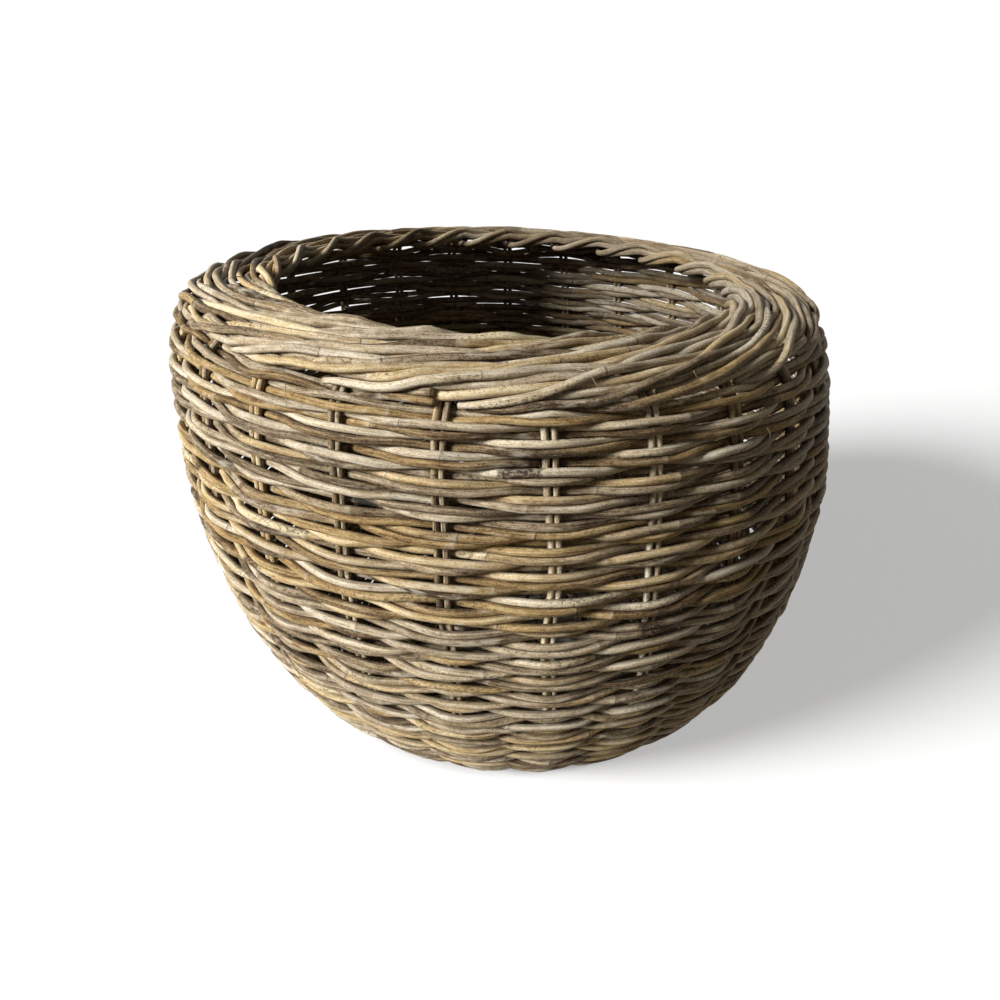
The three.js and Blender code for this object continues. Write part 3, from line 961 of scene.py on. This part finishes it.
def finishLook(n, color, roughness, bump, height):
    strength, distance = bump
    bumped = n.add("ShaderNodeBump", {"Strength": strength, "Distance": distance, "Height": height})
    shader = n.add("ShaderNodeBsdfPrincipled", {"Base Color": color, "Roughness": roughness,
                                                "Normal": bumped.outputs[0], "Specular IOR Level": look["shine"]})
    n.add("ShaderNodeOutputMaterial", {"Surface": shader.outputs[0]})


def makeCaneLook():
    material, n = startLook("weathered rattan")
    along, seed, tone, knot, tip, bark, stretch, outside = (
        n.read(name) for name in ("along", "seed", "tone", "knot", "tip", "bark", "stretch", "outside"))
    ring = n.read("ring", "Vector")

    def pattern(across, lengthwise, start, detail, roughness):
        # a straight cane in its own space, stretched so that a pattern gets its size across and along
        flat = n.vector("SCALE", ring, look["caneRadius"] * across)
        height = n.times(along, lengthwise, n.times(seed, 173.0, start))
        return n.noise(n.vector("ADD", flat, n.upright(height)), 1.0, detail, roughness)

    def about(value, amount, middle):  # a value of 0 to 1 added around a middle value
        return n.times(n.math("SUBTRACT", value, 0.5), amount, middle)

    def mark(kind, value, *ends):
        return n.span(value, *look["marks"][kind][:2], *ends)

    drawn = {kind: pattern(*size) for kind, size in look["patterns"].items()}
    mottle, patch, scale = drawn["mottle"], drawn["patch"], drawn["scale"]
    light = look["lightness"]
    for kind, amount in look["lightFrom"].items():
        light = about({**drawn, "tone": tone, "stretch": stretch}[kind], amount, light)
    warmth = n.times(n.math("FRACT", n.times(seed, 7.31)), 0.8, 0.12)
    warmth = about(patch, 1.5, about(stretch, 0.5, warmth))
    color = n.mix(n.span(warmth, 0.3, 0.95), n.ramp(light, look["greys"]), n.ramp(light, look["honeys"]))

    isScaly = n.span(n.math("ADD", patch, n.times(stretch, 0.22)), 0.68, 0.78)
    flakes = n.times(mark("flakes", scale), isScaly)
    # a knuckle is a thin dark ring between a stained band and a pale one
    slant = n.vector("DOT_PRODUCT", ring, (0.0006, 0.0004, 0))
    distance = n.math("ABSOLUTE", n.math("ADD", slant, about(mottle, 0.0022, knot)))
    uneven = n.span(n.math("FRACT", n.times(stretch, 9.7)), 0.2, 0.9, 0.15, 1.0)
    knuckle = n.times(mark("knuckle", distance, 1.0, 0.0), uneven)
    knuckle = n.times(knuckle, n.span(scale, 0.35, 0.55, 0.2, 1.0))
    pastBand = n.span(n.times(mottle, 0.008, knot), 0.0, 0.011)
    isBark = mark("bark", n.times(scale, 0.8, bark))
    masks = {
        "pale": mark("pale", about(mottle, 1.0, about(patch, -1.2, 0.5))),
        "flakes": flakes,
        "dots": n.times(mark("dots", drawn["speck"]), n.span(patch, 0.35, 0.6, 0.15, 1.0)),
        "dashes": mark("dashes", drawn["dash"]),
        "stain": mark("stain", n.math("ADD", patch, n.times(mottle, 0.35))),
        "paleBand": n.times(mark("paleBand", knot), n.span(knot, -0.0006, 0.0002, 1.0, 0.0)),
        "darkBand": n.times(mark("darkBand", knot), n.math("SUBTRACT", 1.0, pastBand)),
        "knuckle": knuckle,
        "bark": isBark,
        "scaly": n.times(isBark, mark("scaly", scale)),
        "smooth": mark("smooth", bark),
        "worn": mark("worn", tip, 1.0, 0.0),
    }
    for kind, (_, _, strength, tint) in look["marks"].items():
        color = n.mix(n.times(masks[kind], strength), color, tint)
    # painted shade: faces that look inwards and creases between canes are darkened towards a dark brown
    inner = n.times(n.span(outside, -0.6, 0.35, 1.0, 0.0), look["innerShadeShare"])
    creaseShade = n.span(outside, 0.0, 0.75, look["creaseShadeShare"], 0.0)
    color = n.mix(n.math("MAXIMUM", creaseShade, inner), color, look["paintedShade"])

    roughness = n.times(flakes, 0.25, n.times(mottle, 0.4, 0.36))
    height = n.times(drawn["fibre"], 0.7, n.times(mottle, 0.6))
    for value, amount in ((drawn["dash"], 0.35), (flakes, -0.3), (knuckle, -0.5)):
        height = n.times(value, amount, height)
    finishLook(n, color, roughness, look["bump"], height)
    return material


def makeCutLook():
    material, n = startLook("cut cane end")
    ring, seed = n.read("ring", "Vector"), n.read("seed")
    moved = n.vector("ADD", ring, n.upright(n.times(seed, 91.0)))
    pores = n.add("ShaderNodeTexVoronoi", {"Vector": moved, "Scale": 6.0}).outputs["Distance"]
    color = n.mix(n.span(pores, 0.05, 0.3), *look["endColors"])
    aged = n.math("FRACT", n.times(seed, 5.17))
    color = n.mix(n.span(aged, 0.4, 1.0, 0.0, 0.75), color, look["endAged"])
    color = n.mix(n.span(n.vector("LENGTH", ring), 0.8, 0.97), color, look["endSkin"])
    finishLook(n, color, 0.85, (0.4, 0.0003), pores)
    return material


# floor, light and camera

studio = {
    "floorSize": 14.0,
    "floorBounce": (0.15, 0.135, 0.113),
    "floorShown": (0.77, 0.77, 0.77),
    "floorGlow": 0.44,  # only where it is seen directly, so that it is white and keeps the shadow
    "darkUnder": (0.206, 0.228),  # no glow from the middle of the base out to its edge: painted shade on the floor under the base
    "keyTurn": -64.0,  # degrees from the front, towards the left
    "keyRise": 25.5,
    "keyStrength": 5.2,
    "keySoftness": 19.0,
    "domeTurn": 5.0,  # where the soft light of the surroundings is brightest
    "domeRise": 28.0,
    "domeStrength": (0.012, 0.12),
    "domeColor": (1.0, 0.91, 0.77),
    "cameraPlace": (0.00137, -0.7793, 0.6217),
    "cameraTilt": 61.47,
    "lens": 27.95,
    "shift": -0.0083,
}


def directionTo(turn, rise):
    turn, rise = math.radians(turn), math.radians(rise)
    return Vector((math.sin(turn) * math.cos(rise), -math.cos(turn) * math.cos(rise), math.sin(rise)))


def seenDirectly(n):  # camera and mirror rays, and those through glass
    path = n.add("ShaderNodeLightPath").outputs
    seen = n.math("MAXIMUM", path["Is Camera Ray"], path["Is Glossy Ray"])
    return n.math("MAXIMUM", seen, path["Is Transmission Ray"])


def buildFloor():
    mesh = bpy.data.meshes.new("floor")
    half = studio["floorSize"] / 2
    mesh.from_pydata([(-half, -half, 0), (half, -half, 0), (half, half, 0), (-half, half, 0)], [], [(0, 1, 2, 3)])
    floor = addObject("floor", mesh)
    material, n = startLook("pale floor")
    bounce, shown = (n.add("ShaderNodeBsdfDiffuse", {"Color": (*studio[key], 1)}).outputs[0]
                     for key in ("floorBounce", "floorShown"))
    reach = n.vector("LENGTH", n.add("ShaderNodeTexCoord").outputs["Object"])
    # painted shade: the floor under the base gets no glow, so it shows darker there
    strength = n.span(reach, *studio["darkUnder"], 0.0, studio["floorGlow"])
    glow = n.add("ShaderNodeEmission", {"Color": (1, 1, 1, 1), "Strength": strength})
    lit = n.add("ShaderNodeAddShader", {0: shown, 1: glow.outputs[0]})
    picked = n.add("ShaderNodeMixShader", {0: seenDirectly(n), 1: bounce, 2: lit.outputs[0]})
    n.add("ShaderNodeOutputMaterial", {"Surface": picked.outputs[0]})
    mesh.materials.append(material)


def buildLights():
    toLight = directionTo(studio["keyTurn"], studio["keyRise"])
    sun = bpy.data.lights.new("key light", "SUN")
    sun.energy = studio["keyStrength"]
    sun.angle = math.radians(studio["keySoftness"])
    lamp = addObject("key light", sun)
    lamp.rotation_euler = toLight.to_track_quat("Z", "Y").to_euler()
    lamp.location = toLight * 3

    world = bpy.data.worlds.new("studio")
    scene.world = world
    world.use_nodes = True
    n = Nodes(world.node_tree)
    low, high = studio["domeStrength"]
    bright = directionTo(studio["domeTurn"], studio["domeRise"])
    coming = n.add("ShaderNodeTexCoord").outputs["Generated"]
    facing = n.math("MAXIMUM", n.vector("DOT_PRODUCT", coming, tuple(bright)), 0.0)
    strength = n.times(n.math("POWER", facing, 2.0), high, low)
    soft = n.add("ShaderNodeBackground", {"Color": (*studio["domeColor"], 1), "Strength": strength})
    white = n.add("ShaderNodeBackground", {"Color": (1, 1, 1, 1), "Strength": 1.0})
    picked = n.add("ShaderNodeMixShader", {0: seenDirectly(n), 1: soft.outputs[0], 2: white.outputs[0]})
    n.add("ShaderNodeOutputWorld", {"Surface": picked.outputs[0]})


def buildCamera():
    lens = bpy.data.cameras.new("camera")
    lens.lens, lens.sensor_width, lens.sensor_fit = studio["lens"], 36.0, "HORIZONTAL"
    lens.shift_x = studio["shift"]
    lens.clip_start, lens.clip_end = 0.01, 60
    camera = addObject("camera", lens)
    camera.location = studio["cameraPlace"]
    camera.rotation_euler = (math.radians(studio["cameraTilt"]), 0, 0)
    scene.camera = camera


# putting it together

buildBase()
buildWeave()
buildStakes()
settleCanes()

skinTree = makeSkinTree()
cutLook = makeCutLook()
caneLook = makeCaneLook()
triangles = 0
for node in sorted(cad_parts):
    group = [c for c in canes if c["piece"] == node]
    kind = node[:-3]
    sides = skin["borderSides"] if kind == "stake_pair" else skin["wallSides"]
    piece = skinPiece(node + "_canes", group, skinTree, sides, caneLook, cutLook)
    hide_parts(node)
    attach(piece, "root")
    triangles += sum(len(p.vertices) - 2 for p in piece.data.polygons)
print("canes skinned:", triangles, "triangles")

buildFloor()
buildLights()
buildCamera()
scene.view_settings.view_transform = "Standard"
print("studio ready")
